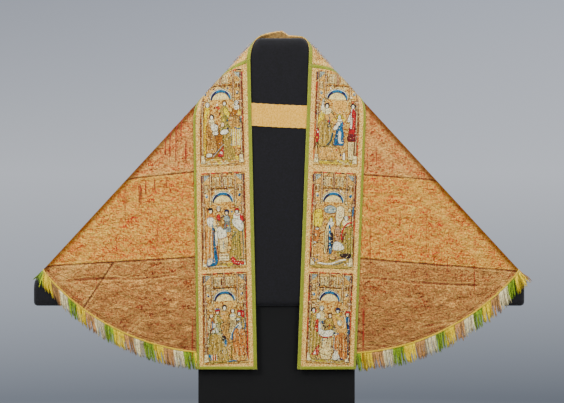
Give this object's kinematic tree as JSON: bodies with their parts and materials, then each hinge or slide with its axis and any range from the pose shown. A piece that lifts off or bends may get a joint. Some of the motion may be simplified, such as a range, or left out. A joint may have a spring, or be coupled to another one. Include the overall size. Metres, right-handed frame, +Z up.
{
  "type": "cope vestment on a padded display form",
  "caption": "Semicircular church cope of cloth of gold with embroidered orphreys and a coloured fringe, folded over a flat black display form on a stand.",
  "frame": {"origin": "on the floor, at the centre of the whole object's box", "axes": "+X to the right as seen from the front, +Y from the front to the back, +Z up; the open front with the orphreys faces -Y"},
  "size_m": [2.0806, 0.56, 1.7138],
  "materials": {
    "cloth_of_gold": "silk woven with gilt thread, soft metallic sheen, mottled and worn, with crimson silk showing in streaks",
    "orphrey_band": "linen covered with couched gold thread and a speckled cream border",
    "scene_needlework": "raised silk and gold embroidery in split stitch and couching",
    "green_braid": "narrow woven silk braid, matte",
    "yellow_braid": "narrow woven silk braid, matte",
    "fringe": "loose silk threads in blocks of green, yellow, tan and cream",
    "lining_silk": "plain taupe silk, slightly creased",
    "clasp_weave": "ribbed woven band, matte",
    "black_cloth": "stretched black display cloth, matte",
    "base_paint": "board painted matte black"
  },
  "bodies": {
    "root": {"braid_left_bottom": "green_braid", "braid_left_cross": "green_braid", "braid_left_inner": "green_braid", "braid_left_outer": "green_braid", "braid_neck_inner": "green_braid", "braid_neck_outer": "green_braid", "braid_right_bottom": "green_braid", "braid_right_cross": "green_braid", "braid_right_inner": "green_braid", "braid_right_outer": "green_braid", "clasp_band": "clasp_weave", "fringe_back": "fringe", "fringe_left": "fringe", "fringe_right": "fringe", "ground_centre": "cloth_of_gold", "ground_left_gore": "cloth_of_gold", "ground_left_lower": "cloth_of_gold", "ground_left_middle": "cloth_of_gold", "ground_right_lower": "cloth_of_gold", "ground_right_middle": "cloth_of_gold", "hem_braid_back": "yellow_braid", "hem_braid_left": "yellow_braid", "hem_braid_right": "yellow_braid", "neck_lining": "lining_silk", "orphrey_left": "orphrey_band", "orphrey_neck": "orphrey_band", "orphrey_right": "orphrey_band", "scene_left_bottom": "scene_needlework", "scene_left_middle": "scene_needlework", "scene_left_top": "scene_needlework", "scene_right_bottom": "scene_needlework", "scene_right_middle": "scene_needlework", "scene_right_top": "scene_needlework", "stand_base": "base_paint", "stand_form": "black_cloth", "stand_post": "black_cloth"}
  },
  "joints": []
}
